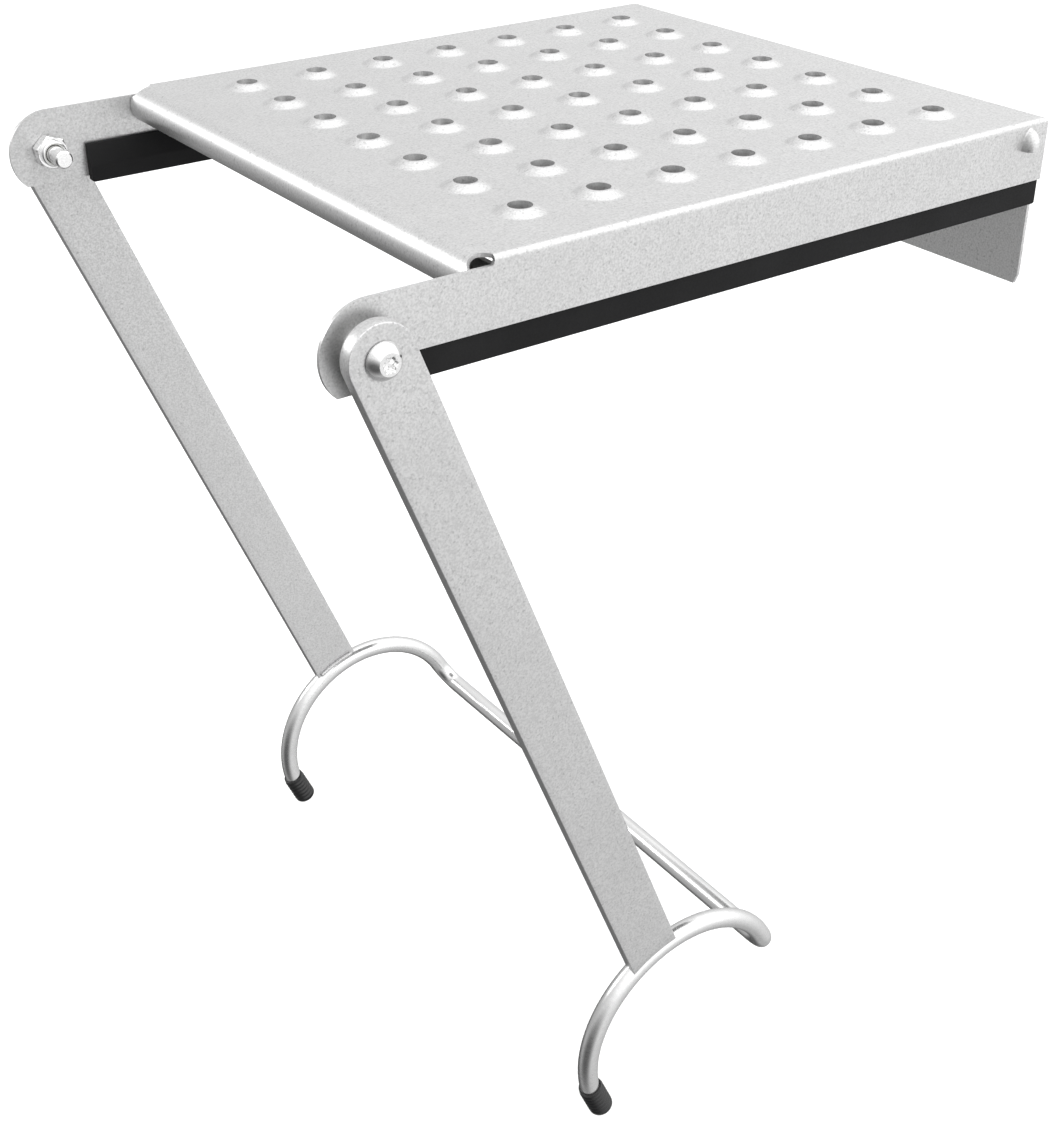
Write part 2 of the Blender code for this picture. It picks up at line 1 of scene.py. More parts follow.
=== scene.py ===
# Hang-on ladder step: folded steel tray, rubber strips, two flat legs and a bent hook rod.
# The part's frame: +X back to the rear plate, +Y across, +Z up; metres throughout.
import bpy
import bmesh
import numpy as np
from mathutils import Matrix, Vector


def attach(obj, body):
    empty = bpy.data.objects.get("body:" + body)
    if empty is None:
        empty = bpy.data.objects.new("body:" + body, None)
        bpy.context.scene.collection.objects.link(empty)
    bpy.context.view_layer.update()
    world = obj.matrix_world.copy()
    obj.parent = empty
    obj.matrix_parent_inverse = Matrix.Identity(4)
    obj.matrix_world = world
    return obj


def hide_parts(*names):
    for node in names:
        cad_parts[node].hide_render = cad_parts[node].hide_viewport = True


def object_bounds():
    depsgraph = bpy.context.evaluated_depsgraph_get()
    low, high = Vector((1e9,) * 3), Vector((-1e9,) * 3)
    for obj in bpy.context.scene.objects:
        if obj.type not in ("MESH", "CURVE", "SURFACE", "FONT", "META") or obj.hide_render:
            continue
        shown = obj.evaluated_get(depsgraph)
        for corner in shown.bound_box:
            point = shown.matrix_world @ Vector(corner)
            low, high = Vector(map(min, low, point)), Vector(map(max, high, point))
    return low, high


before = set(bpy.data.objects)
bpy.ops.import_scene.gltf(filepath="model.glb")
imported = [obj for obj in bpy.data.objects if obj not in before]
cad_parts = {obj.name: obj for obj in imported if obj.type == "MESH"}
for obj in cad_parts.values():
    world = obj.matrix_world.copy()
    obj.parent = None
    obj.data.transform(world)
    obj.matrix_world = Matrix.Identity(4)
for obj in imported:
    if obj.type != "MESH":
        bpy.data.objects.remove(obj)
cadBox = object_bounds()
sides = {"right": -1.0, "left": 1.0}
pivot = np.array((-0.3972, 0.0, 0.021))
print("frame loaded:", len(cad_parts), "nodes")


def gridQuads(rows, columns, closed=False):
    # corner numbers of every quad of a rows x columns grid; closed joins last column to first
    across = columns if closed else columns - 1
    r, c = np.meshgrid(np.arange(rows - 1), np.arange(across), indexing="ij")
    n = (c + 1) % columns
    corners = [r * columns + c, r * columns + n, (r + 1) * columns + n, (r + 1) * columns + c]
    return np.stack(corners, -1).reshape(-1, 4)


def gridPatch(points, closed=False):
    # points is a rows x columns x 3 array
    rows, columns = points.shape[:2]
    return points.reshape(-1, 3), gridQuads(rows, columns, closed)


def patchMesh(name, patches, gap=3e-6):
    # joins patches into one mesh and merges the points they share
    starts = np.cumsum([0] + [len(p) for p, q in patches])
    points = np.concatenate([p for p, q in patches])
    quads = np.concatenate([q + s for (p, q), s in zip(patches, starts)])
    mesh = bpy.data.meshes.new(name)
    mesh.vertices.add(len(points))
    mesh.vertices.foreach_set("co", points.astype(np.float32).ravel())
    mesh.loops.add(quads.size)
    mesh.loops.foreach_set("vertex_index", quads.astype(np.int32).ravel())
    mesh.polygons.add(len(quads))
    mesh.polygons.foreach_set("loop_start", np.arange(0, quads.size, 4, dtype=np.int32))
    mesh.update(calc_edges=True)
    work = bmesh.new()
    work.from_mesh(mesh)
    bmesh.ops.remove_doubles(work, verts=work.verts, dist=gap)
    bmesh.ops.recalc_face_normals(work, faces=work.faces)
    work.to_mesh(mesh)
    work.free()
    return mesh


def faceAlong(mesh, direction):
    # turns an open sheet over if its faces lean away from direction on the whole
    normals = np.zeros(len(mesh.polygons) * 3)
    mesh.polygons.foreach_get("normal", normals)
    areas = np.zeros(len(mesh.polygons))
    mesh.polygons.foreach_get("area", areas)
    if (normals.reshape(-1, 3) @ np.array(direction) * areas).sum() < 0:
        mesh.flip_normals()


def thicken(mesh, thickness, edge=0.0, segments=2):
    # a sheet gets its wall on the inner side and, where edge is given, a round on its cut edges
    item = bpy.data.objects.new("blank", mesh)
    bpy.context.scene.collection.objects.link(item)
    wall = item.modifiers.new("Wall", "SOLIDIFY")
    wall.thickness = thickness
    wall.offset = -1.0
    wall.use_even_offset = True
    if edge:
        rounding = item.modifiers.new("Edges", "BEVEL")
        rounding.width = edge
        rounding.segments = segments
        rounding.limit_method = "ANGLE"
        rounding.angle_limit = np.radians(50)
    bpy.context.view_layer.update()
    result = item.evaluated_get(bpy.context.evaluated_depsgraph_get())
    solid = bpy.data.meshes.new_from_object(result)
    bpy.data.objects.remove(item, do_unlink=True)
    return solid


def joined(one, two):
    # both meshes as one
    work = bmesh.new()
    work.from_mesh(one)
    work.from_mesh(two)
    work.to_mesh(one)
    work.free()
    return one


def putPiece(name, mesh, body, nodes, finish, sharp=32):
    # the finished piece: smooth shaded, on its body, in place of its plain nodes
    mesh.name = name
    mesh.shade_smooth()
    mesh.set_sharp_from_angle(angle=np.radians(sharp))
    mesh.materials.clear()
    mesh.materials.append(finish)
    item = bpy.data.objects.new(name, mesh)
    bpy.context.scene.collection.objects.link(item)
    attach(item, body)
    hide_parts(*nodes)


def turnedPatch(radii, heights, side, start, steps=64):
    # surface of revolution about the pivot: radius and height along the profile, the angle round it
    turn = np.linspace(0, 2 * np.pi, steps, endpoint=False)
    r = np.asarray(radii)[:, None]
    x = pivot[0] + r * np.cos(turn)
    z = pivot[2] + r * np.sin(turn)
    y = np.broadcast_to(side * (start + np.asarray(heights))[:, None], x.shape)
    return gridPatch(np.stack([x, y, z], -1), closed=True)


def roundedRing(outer, inner, height, soft):
    # closed section of a washer: a rectangle whose four corners are quarter rounds
    turn = np.linspace(0, np.pi / 2, 4)
    corners = [(outer - soft, height - soft, 0), (inner + soft, height - soft, 1),
               (inner + soft, soft, 2), (outer - soft, soft, 3)]
    r = np.concatenate([a + soft * np.cos(turn + k * np.pi / 2) for a, b, k in corners])
    h = np.concatenate([b + soft * np.sin(turn + k * np.pi / 2) for a, b, k in corners])
    return np.append(r, r[0]), np.append(h, h[0])


def tubePatch(path, radii, steps=32, capped=True):
    # a round section carried along a path; each ring stands square to the path's local direction
    path = np.asarray(path)
    along = np.gradient(path, axis=0)
    along /= np.linalg.norm(along, axis=1, keepdims=True)
    first = np.empty_like(along)
    first[0] = np.cross(along[0], (0.3, 0.5, 0.8))
    for i in range(1, len(path)):    # carried forward with no twist
        first[i] = first[i - 1] if i > 1 else first[0]
        first[i] -= along[i] * (first[i] @ along[i])
    first /= np.linalg.norm(first, axis=1, keepdims=True)
    second = np.cross(along, first)
    turn = np.linspace(0, 2 * np.pi, steps, endpoint=False)
    radii = np.broadcast_to(radii, len(path))[:, None, None]
    ring = first[:, None] * np.cos(turn)[:, None] + second[:, None] * np.sin(turn)[:, None]
    points = path[:, None] + radii * ring
    if capped:
        ends = [np.broadcast_to(path[i], points[0].shape)[None] for i in (0, -1)]
        points = np.concatenate([ends[0], points, ends[1]])
    return gridPatch(points, closed=True)


def newFinish(name):
    finish = bpy.data.materials.new(name)
    finish.use_nodes = True
    tree = finish.node_tree
    return finish, tree, tree.nodes["Principled BSDF"]


def noiseNode(tree, scale, detail=3.0, stretch=(1, 1, 1)):
    # noise read in the piece's own coordinates, drawn out along an axis by stretch
    place = tree.nodes.new("ShaderNodeTexCoord")
    mapping = tree.nodes.new("ShaderNodeMapping")
    mapping.inputs["Scale"].default_value = stretch
    noise = tree.nodes.new("ShaderNodeTexNoise")
    noise.inputs["Scale"].default_value = scale
    noise.inputs["Detail"].default_value = detail
    tree.links.new(place.outputs["Object"], mapping.inputs["Vector"])
    tree.links.new(mapping.outputs["Vector"], noise.inputs["Vector"])
    return noise.outputs["Fac"]


def rangeNode(tree, value, low, high, outLow, outHigh):
    node = tree.nodes.new("ShaderNodeMapRange")
    limits = {"From Min": low, "From Max": high, "To Min": outLow, "To Max": outHigh}
    for socket, number in limits.items():
        node.inputs[socket].default_value = number
    tree.links.new(value, node.inputs["Value"])
    return node.outputs["Result"]


def mixNode(tree, factor, one, two, blend="MIX"):
    node = tree.nodes.new("ShaderNodeMix")
    node.data_type = "RGBA"
    node.blend_type = blend
    # sockets 0, 6 and 7 are the factor and the two colours; output 2 is the colour
    for socket, value in zip((0, 6, 7), (factor, one, two)):
        if hasattr(value, "is_linked"):
            tree.links.new(value, node.inputs[socket])
        else:
            node.inputs[socket].default_value = value
    return node.outputs[2]


def bumpNode(tree, height, distance, strength, under=None):
    node = tree.nodes.new("ShaderNodeBump")
    node.inputs["Strength"].default_value = strength
    node.inputs["Distance"].default_value = distance
    tree.links.new(height, node.inputs["Height"])
    if under:
        tree.links.new(under, node.inputs["Normal"])
    return node.outputs["Normal"]


sheetLook = {
    "light": (0.66, 0.66, 0.66, 1), "dark": (0.5, 0.5, 0.5, 1), "pit": (0.3, 0.3, 0.3, 1),
    "metallic": 0.92, "roughness": (0.34, 0.48), "grainScale": 950, "cloudScale": 38, "pitScale": 620,
    "bumpDepth": 0.00003,
}


def galvanisedFinish(name, look, lay=(1, 1, 1)):
    # zinc-coated sheet: soft cloudy tone, fine grain and a scatter of tiny dark pits
    finish, tree, shader = newFinish(name)
    cloud = noiseNode(tree, look["cloudScale"], 4.0, lay)
    grain = noiseNode(tree, look["grainScale"], 2.0, lay)
    pits = noiseNode(tree, look["pitScale"], 1.0)
    tone = mixNode(tree, rangeNode(tree, cloud, 0.35, 0.65, 0.0, 0.16), look["light"], look["dark"])
    tone = mixNode(tree, rangeNode(tree, grain, 0.35, 0.65, 0.0, 0.85), tone, look["dark"])
    tone = mixNode(tree, rangeNode(tree, pits, 0.62, 0.74, 0.0, 0.5), tone, look["pit"])
    tree.links.new(tone, shader.inputs["Base Color"])
    shader.inputs["Metallic"].default_value = look["metallic"]
    low, high = look["roughness"]
    tree.links.new(rangeNode(tree, grain, 0.3, 0.7, low, high), shader.inputs["Roughness"])
    normal = bumpNode(tree, grain, look["bumpDepth"], 0.6)
    tree.links.new(bumpNode(tree, cloud, look["bumpDepth"] * 8, 0.25, normal), shader.inputs["Normal"])
    return finish


brightLook = {"light": (0.7, 0.7, 0.7, 1), "dark": (0.6, 0.6, 0.6, 1), "metallic": 1.0,
              "roughness": (0.2, 0.3), "scale": 420, "drawn": (1, 0.03, 1), "bumpDepth": 0.000004}
zincLook = {"light": (0.82, 0.82, 0.82, 1), "dark": (0.62, 0.62, 0.62, 1), "metallic": 1.0,
            "roughness": (0.06, 0.14), "scale": 1500, "drawn": (1, 1, 1), "bumpDepth": 0.000006}


def brightFinish(name, look):
    # smooth metal with drawing marks along one axis
    finish, tree, shader = newFinish(name)
    marks = noiseNode(tree, look["scale"], 3.0, look["drawn"])
    cloud = noiseNode(tree, 60, 2.0)
    tone = mixNode(tree, rangeNode(tree, marks, 0.35, 0.7, 0.0, 0.5), look["light"], look["dark"])
    tone = mixNode(tree, rangeNode(tree, cloud, 0.4, 0.7, 0.0, 0.3), tone, look["dark"])
    tree.links.new(tone, shader.inputs["Base Color"])
    shader.inputs["Metallic"].default_value = look["metallic"]
    low, high = look["roughness"]
    tree.links.new(rangeNode(tree, marks, 0.3, 0.7, low, high), shader.inputs["Roughness"])
    tree.links.new(bumpNode(tree, marks, look["bumpDepth"], 0.5), shader.inputs["Normal"])
    return finish


rubberLook = {"tone": (0.007, 0.007, 0.0074, 1), "dust": (0.014, 0.014, 0.0147, 1),
              "roughness": (0.5, 0.68), "specular": 0.16, "grainScale": 1400, "cloudScale": 30,
              "bumpDepth": 0.00002}
nylonLook = {"tone": (0.62, 0.62, 0.6, 1), "dust": (0.5, 0.5, 0.48, 1), "roughness": (0.4, 0.55),
             "specular": 0.5, "grainScale": 1200, "cloudScale": 90, "bumpDepth": 0.00001}


def mouldedFinish(name, look):
    # moulded rubber or nylon: fine skin grain, faint cloudy dust
    finish, tree, shader = newFinish(name)
    grain = noiseNode(tree, look["grainScale"], 3.0)
    cloud = noiseNode(tree, look["cloudScale"], 4.0)
    tone = mixNode(tree, rangeNode(tree, cloud, 0.4, 0.75, 0.0, 0.6), look["tone"], look["dust"])
    tree.links.new(tone, shader.inputs["Base Color"])
    low, high = look["roughness"]
    tree.links.new(rangeNode(tree, grain, 0.3, 0.7, low, high), shader.inputs["Roughness"])
    tree.links.new(bumpNode(tree, grain, look["bumpDepth"], 0.7), shader.inputs["Normal"])
    shader.inputs["Specular IOR Level"].default_value = look["specular"]
    return finish


traySteel = galvanisedFinish("traySteel", sheetLook)
legSteel = galvanisedFinish("legSteel", dict(sheetLook, cloudScale=30))
rodSteel = brightFinish("rodSteel", brightLook)
boltZinc = brightFinish("boltZinc", zincLook)
blackRubber = mouldedFinish("blackRubber", rubberLook)
capRubber = mouldedFinish("capRubber", dict(rubberLook, specular=0.5, roughness=(0.3, 0.42)))
paleNylon = mouldedFinish("paleNylon", nylonLook)
print("finishes made")


tray = {
    "sheet": 0.002, "halfWidth": 0.1761, "top": 0.048, "bend": 0.0025,
    "flangeBottom": 0.0145, "rearFace": 0.0252, "rearBottom": -0.0464, "rearHalf": 0.172,
    "rearCut": (0.002, 0.0055), "stripNotch": (0.1674, 0.0219, -0.0004),
    "noseX": -0.3353, "noseRadius": 0.01055, "noseTurn": 285, "noseHalf": 0.1735,
    "relief": (-0.3393, 0.177, 0.008), "bendStart": -0.332,
    "holePitch": 0.045, "holes": 7, "firstHole": -0.29, "holeRadius": 0.006,
    "rimRadius": 0.0073, "rimHeight": 0.003, "footRadius": 0.0125,
    "lipSoft": 0.0007, "footSoft": 0.0006,    # how far the rim's two corners are rounded
    "plugGap": 0.00001, "plugTop": 0.0027, "plugFoot": 0.0116,
    "plugSlope": ((0.0071, 0.0024), (0.0118, -0.0012)),    # radius, height from the deck
    "earRadius": 0.024, "earCentre": (-0.3955, 0.0196), "earHole": 0.0054,
    "earTop": 0.0436, "earBottom": 0.0024, "earStep": -0.3735, "earJoin": -0.366,
    "bump": (0.0115, 0.033), "bumpSize": (0.0056, 0.0066, 0.0112), "bumpWall": 0.0016,
    "bumpFlare": 0.0004, "bumpSink": 0.0003, "bumpLean": 0.0012, "bumpFoot": 1.12,
}
bendX = tray["rearFace"] - tray["bend"]
bendY = tray["halfWidth"] - tray["bend"]
bendZ = tray["top"] - tray["bend"]
brink = 0.001    # a narrow row beside a fold or an edge
cellSteps = 10
cellHalf = tray["holePitch"] / 2
cellRings = np.array((6.0, 6.5, 6.9, 7.3, 7.8, 8.6, 9.6, 10.6, 11.4, 12.0, 12.6, 13.3, 14.2)) / 1000
fieldSteps = tray["holes"] * cellSteps + 1
fieldEnd = tray["firstHole"] + (tray["holes"] - 0.5) * tray["holePitch"]
fieldX = np.linspace(tray["firstHole"] - cellHalf, fieldEnd, fieldSteps)
fieldY = np.linspace(-tray["holes"] * cellHalf, tray["holes"] * cellHalf, fieldSteps)
# columns between the holes and the side bend; two lie on the strips' notch and the rear plate's edge
edgeY = np.array((0.1625, 0.1674, 0.1695, 0.172, 0.1732, bendY))
acrossY = np.concatenate([-edgeY[::-1], fieldY, edgeY])
# rows ahead of the first holes
frontX = np.array((tray["bendStart"], -0.3300, -0.3265, -0.32))
rearX = np.linspace(fieldX[-1], bendX, 12)[1:]
deckX = np.concatenate([frontX, fieldX, rearX])


def rimHeight(r):
    # a cone from foot to rim, rounded into the deck below and into the flat lip above
    rise = tray["rimHeight"] * (tray["footRadius"] - r) / (tray["footRadius"] - tray["rimRadius"])

    def softLow(a, b, k):
        h = np.clip(0.5 + 0.5 * (b - a) / k, 0, 1)
        return b * (1 - h) + a * h - k * h * (1 - h)

    capped = softLow(rise, np.full_like(rise, tray["rimHeight"]), tray["lipSoft"])
    return -softLow(-capped, np.zeros_like(rise), tray["footSoft"])


def plugPatch(x, y):
    # fills the hollow under a raised rim: a ring section turned about the hole
    turn = np.linspace(0, 2 * np.pi, 4 * cellSteps, endpoint=False)
    base, hole = tray["top"] - tray["sheet"], tray["holeRadius"] + tray["plugGap"]
    slope = [(radius, tray["top"] + height) for radius, height in tray["plugSlope"]]
    section = np.array([(hole, base), (hole, tray["top"] + tray["plugTop"]), *slope,
                        (tray["plugFoot"], base), (hole, base)])
    r, z = section[:, :1], section[:, 1:]
    return gridPatch(np.stack([x + r * np.cos(turn), y + r * np.sin(turn), z + 0 * turn], -1), closed=True)


def cellPatch(x, y):
    # rings from the hole's edge to a circle, then from that circle out to the cell's square
    count = 4 * cellSteps
    side = np.linspace(-cellHalf, cellHalf, cellSteps + 1)[:-1]
    low = np.full(cellSteps, -cellHalf)
    square = np.concatenate([np.stack([side, low], -1), np.stack([-low, side], -1),
                             np.stack([-side, -low], -1), np.stack([low, -side], -1)])
    turn = np.radians(225) + np.linspace(0, 2 * np.pi, count, endpoint=False)
    circle = np.stack([np.cos(turn), np.sin(turn)], -1)
    flat = cellRings[:, None, None] * circle
    out = np.array((0.3, 0.65, 1.0))[:, None, None]
    flat = np.concatenate([flat, flat[-1] * (1 - out) + square * out])
    radius = np.linalg.norm(flat, axis=-1)
    z = tray["top"] + rimHeight(radius)
    return gridPatch(np.stack([x + flat[..., 0], y + flat[..., 1], z], -1), closed=True)


def deckPatch(xs, ys):
    # a flat grid at the deck's height
    x, y = np.meshgrid(xs, ys, indexing="ij")
    return gridPatch(np.stack([x, y, np.full_like(x, tray["top"])], -1))


def nosePatch():
    # the sheet's front edge rolled under: distance ahead of the deck becomes an angle round the roll
    r = tray["noseRadius"]
    lead = tray["bendStart"] - tray["noseX"]
    roll = np.radians(np.linspace(0, tray["noseTurn"], 60))
    along = np.concatenate([np.linspace(0, lead, 4)[:-1], lead + r * roll])
    s, t = np.meshgrid(along, acrossY, indexing="ij")
    centre, reach, radius = tray["relief"]
    off = np.clip(1 - ((tray["bendStart"] - s - centre) / radius) ** 2, 0, 1)
    limit = np.where(off > 0, reach - radius * np.sqrt(off), tray["noseHalf"])
    limit = np.minimum(limit, tray["noseHalf"])
    limit[0] = bendY
    keep = edgeY[0]    # nearer the middle than this, nothing is drawn in
    wide = np.abs(t) > keep
    t = np.where(wide, np.sign(t) * (keep + (np.abs(t) - keep) * (limit - keep) / (bendY - keep)), t)
    a = np.clip((s - lead) / r, 0, None)
    x = np.where(s < lead, tray["bendStart"] - s, tray["noseX"] - r * np.sin(a))
    z = tray["top"] - r * (1 - np.cos(a))
    return gridPatch(np.stack([x, t, z], -1))


def rearPatches():
    # quarter bend at the deck's rear edge, then the plate down with its corners and strip notches
    turn = np.linspace(0, np.pi / 2, 7)
    a, y = np.meshgrid(turn, acrossY, indexing="ij")
    r = tray["bend"]
    bend = np.stack([bendX + r * np.sin(a), y, bendZ + r * np.cos(a)], -1)
    notchY, notchTop, notchLow = tray["stripNotch"]
    inner = acrossY[np.abs(acrossY) <= notchY + 1e-6]
    cutTop = tray["rearBottom"] + tray["rearCut"][1]
    rows = np.array((bendZ, bendZ - brink, notchTop, notchLow, -0.02, cutTop, tray["rearBottom"]))
    y, z = np.meshgrid(inner, rows)
    patches = [gridPatch(bend), gridPatch(np.stack([np.full_like(y, tray["rearFace"]), y, z], -1))]
    outer = edgeY[(edgeY > notchY - 1e-6) & (edgeY <= tray["rearHalf"] + 1e-6)]
    for sign in sides.values():
        for part in (rows[:3], rows[3:]):
            y, z = np.meshgrid(outer, part)
            low = z < tray["rearBottom"] + 1e-6
            outermost = y > tray["rearHalf"] - 1e-6
            y = np.where(low & outermost, tray["rearHalf"] - tray["rearCut"][0], y)
            patches.append(gridPatch(np.stack([np.full_like(y, tray["rearFace"]), sign * y, z], -1)))
    return patches


def flangePatches(sign):
    # side bend along the deck, a rounded rear corner, and the upright flange
    turn = np.linspace(0, np.pi / 2, 7)
    r = tray["bend"]
    x, a = np.meshgrid(deckX, turn, indexing="ij")
    bend = np.stack([x, sign * (bendY + r * np.sin(a)), bendZ + r * np.cos(a)], -1)
    b, a = np.meshgrid(turn, turn, indexing="ij")
    corner = np.stack([bendX + r * np.sin(b), sign * (bendY + r * np.sin(a)),
                       bendZ + r * np.cos(a) * np.cos(b)], -1)
    cornerX = bendX + r * np.sin(turn[1:])
    aheadX = np.append(np.linspace(tray["earJoin"], tray["noseX"], 8), tray["bendStart"] - 0.0008)
    rows = np.array((bendZ, bendZ - brink, 0.03, tray["flangeBottom"] + brink, tray["flangeBottom"]))
    aheadRows = np.append(rows[:2] - bendZ + tray["earTop"], rows[2:])
    x, z = np.meshgrid(np.concatenate([aheadX, deckX, cornerX]), rows, indexing="ij")
    z[:len(aheadX)] = aheadRows
    upright = np.stack([x, np.full_like(x, sign * tray["halfWidth"]), z], -1)
    return [gridPatch(bend), gridPatch(corner), gridPatch(upright)], aheadRows


def earPatch(sign, rows):
    # rings from the pivot hole out to the ear's outline, which meets the flange's end
    joinX, step = tray["earJoin"], tray["earStep"]
    radius = tray["earRadius"]
    earX, earZ = tray["earCentre"]
    lowAngle = np.pi + np.arcsin((earZ - tray["earBottom"]) / radius)
    highAngle = np.pi - np.arcsin(min((tray["earTop"] - earZ) / radius, 1.0))
    turn = np.linspace(highAngle, lowAngle, 44)
    roundX, roundZ = earX + radius * np.cos(turn), earZ + radius * np.sin(turn)
    topX = np.linspace(joinX, roundX[0], 7)[1:-1]
    lowX = np.linspace(roundX[-1], step, 7)[1:]
    riseZ = np.linspace(tray["earBottom"], rows[-1], 5)[1:]
    baseX = np.linspace(step, joinX, 4)[1:-1]
    x = np.concatenate([np.full(len(rows), joinX), topX, roundX, lowX, np.full(4, step), baseX])
    z = np.concatenate([rows[::-1], np.full(5, tray["earTop"]), roundZ,
                        np.full(6, tray["earBottom"]), riseZ, np.full(2, rows[-1])])
    away = np.stack([x - pivot[0], z - pivot[2]], -1)
    unit = away / np.linalg.norm(away, axis=-1, keepdims=True)
    part = np.array((0, 0.1, 0.3, 0.55, 0.8, 0.94, 1.0))[:, None, None]
    flat = tray["earHole"] * unit * (1 - part) + away * part
    y = np.full(flat.shape[:2], sign * tray["halfWidth"])
    return gridPatch(np.stack([pivot[0] + flat[..., 0], y, pivot[2] + flat[..., 1]], -1), closed=True)


def bumpPatch(sign):
    # half dome on the flange: at a share q of the way out it stands (1 - q^2.4)^0.62 of its full
    # height, and it flares softly at its foot
    x0, z0 = tray["bump"]
    half, out, up = tray["bumpSize"]
    foot = tray["bumpFoot"]
    ring = np.array((0.0, 0.15, 0.3, 0.45, 0.58, 0.7, 0.8, 0.88, 0.94, 0.985, 1.03, foot))
    turn = np.linspace(0, np.pi, 29)
    q, a = np.meshgrid(ring, turn, indexing="ij")
    stand = out * np.clip(1 - np.clip(q, 0, 1) ** 2.4, 0, 1) ** 0.62
    flare = tray["bumpFlare"] * np.clip((foot - q) / 0.12, 0, 1)
    y = tray["halfWidth"] + stand + flare - tray["bumpSink"]
    lean = tray["bumpLean"] * np.clip(1 - q, 0, 1)     # lifts the nose above the cut edge
    x = x0 + half * q * np.cos(a)
    z = z0 + up * q * np.sin(a) + lean * np.sin(a)
    return gridPatch(np.stack([x, sign * y, z], -1))


def makeTray():
    patches = []
    centres = tray["firstHole"] + tray["holePitch"] * np.arange(tray["holes"])
    middle = tray["holePitch"] * (np.arange(tray["holes"]) - (tray["holes"] - 1) / 2)
    for x in centres:
        patches += [cellPatch(x, y) for y in middle]
    patches.append(deckPatch(np.append(frontX, fieldX[0]), acrossY))
    patches.append(deckPatch(np.append(fieldX[-1], rearX), acrossY))
    patches.append(deckPatch(fieldX, np.append(fieldY[-1], edgeY)))
    patches.append(deckPatch(fieldX, np.append(-edgeY[::-1], fieldY[0])))
    patches.append(nosePatch())
    patches += rearPatches()
    for sign in sides.values():
        flange, rows = flangePatches(sign)
        patches += flange
        patches.append(earPatch(sign, rows))
    sheet = patchMesh("sheet", patches)
    faceAlong(sheet, (0, 0, 1))
    solid = thicken(sheet, tray["sheet"])
    plugs = patchMesh("plugs", [plugPatch(x, y) for x in centres for y in middle])
    solid = joined(solid, plugs)
    putPiece("trayShell", solid, "tray", ["deck_tray"], traySteel, 38)
    for hand, sign in sides.items():
        dome = patchMesh("dome", [bumpPatch(sign)])
        faceAlong(dome, (0, sign, 0))
        putPiece("stopBump." + hand, thicken(dome, tray["bumpWall"]), "tray", [],
                 traySteel, 50)


makeTray()
print("tray made")


strip = {"front": -0.3758, "rear": 0.0262, "outer": 0.1738, "thickness": 0.006, "top": 0.0215,
         "lip": 0.0022, "shoulder": 0.009, "soft": 0.0007}


def stripPatch(sign):
    # a wedge section with soft corners, carried straight back, drawn in a little at both ends
    o, s = strip["outer"], strip["soft"]
    inner = o - strip["thickness"]
    corners = np.array(((o, 0.0), (o, strip["top"]), (o - strip["lip"], strip["top"]),
                        (inner, strip["shoulder"]), (inner, 0.0)))
    before = np.roll(corners, 1, axis=0) - corners
    after = np.roll(corners, -1, axis=0) - corners
    before /= np.linalg.norm(before, axis=1, keepdims=True)
    after /= np.linalg.norm(after, axis=1, keepdims=True)
    t = np.linspace(0, 1, 6)[None, :, None]
    a, b = corners + before * s, corners + after * s
    # each corner is a curve from a to b that the corner point pulls out
    section = (1 - t) ** 2 * a[:, None] + 2 * t * (1 - t) * corners[:, None] + t ** 2 * b[:, None]
    section = section.reshape(-1, 2)
    middle = np.array((o - strip["thickness"] / 2, strip["top"] / 2))
    length = np.array((0, 0, 0.0002, 0.0006, 0.0012))
    shrink = np.array((0.0, 0.93, 0.965, 0.99, 1.0))
    xs = np.concatenate([strip["front"] + length, np.linspace(strip["front"], strip["rear"], 40)[1:-1],
                         strip["rear"] - length[::-1]])
    k = np.concatenate([shrink, np.ones(38), shrink[::-1]])[:, None, None]
    flat = middle + (section - middle) * k
    x = np.broadcast_to(xs[:, None], flat.shape[:2])
    return gridPatch(np.stack([x, sign * flat[..., 0], flat[..., 1]], -1), closed=True)


for hand, sign in sides.items():
    putPiece("rubberStrip." + hand, patchMesh("strip", [stripPatch(sign)]), "tray", ["strip_" + hand],
             blackRubber)
print("strips made")


rod = {"radius": 0.006, "planeY": 0.185, "centre": (-0.2095, -0.465), "bend": 0.0713,
       "start": 192.6, "end": 28.8, "corner": 0.016, "inCap": 0.0197}
cap = {"radius": 0.0076, "length": 0.024, "ribs": 7, "ribDepth": 0.0008, "soft": 0.0018,
       "ribStart": 0.0008, "mouth": 0.0006, "play": 0.00015, "liner": 0.006}
leg = {"inner": 0.1824, "thickness": 0.0075, "width": 0.0329, "slope": 21.1, "bore": 0.0068,
       "foot": 0.0749, "collarAt": 0.022, "edge": 0.00045}
weld = {"start": 100.6, "end": 121.9, "steps": 120, "drops": 13, "radius": 0.00105,
        "swell": 0.00022, "out": 0.0062, "inside": 0.0006}


def onHook(angle, sign, radius=None, y=None):
    # point on the hook's circle at an angle from +X towards +Z
    radius = rod["bend"] if radius is None else radius
    y = rod["planeY"] if y is None else y
    angle = np.asarray(angle, float)
    return np.stack([rod["centre"][0] + radius * np.cos(angle), np.full_like(angle, sign * y),
                     rod["centre"][1] + radius * np.sin(angle)], -1)


def capLine():
    # the cap's axis: the circle's direction half a cap's length beyond the rod's bend
    middle = np.radians(rod["start"]) + cap["length"] / 2 / rod["bend"]
    return np.array((-np.sin(middle), 0.0, np.cos(middle)))


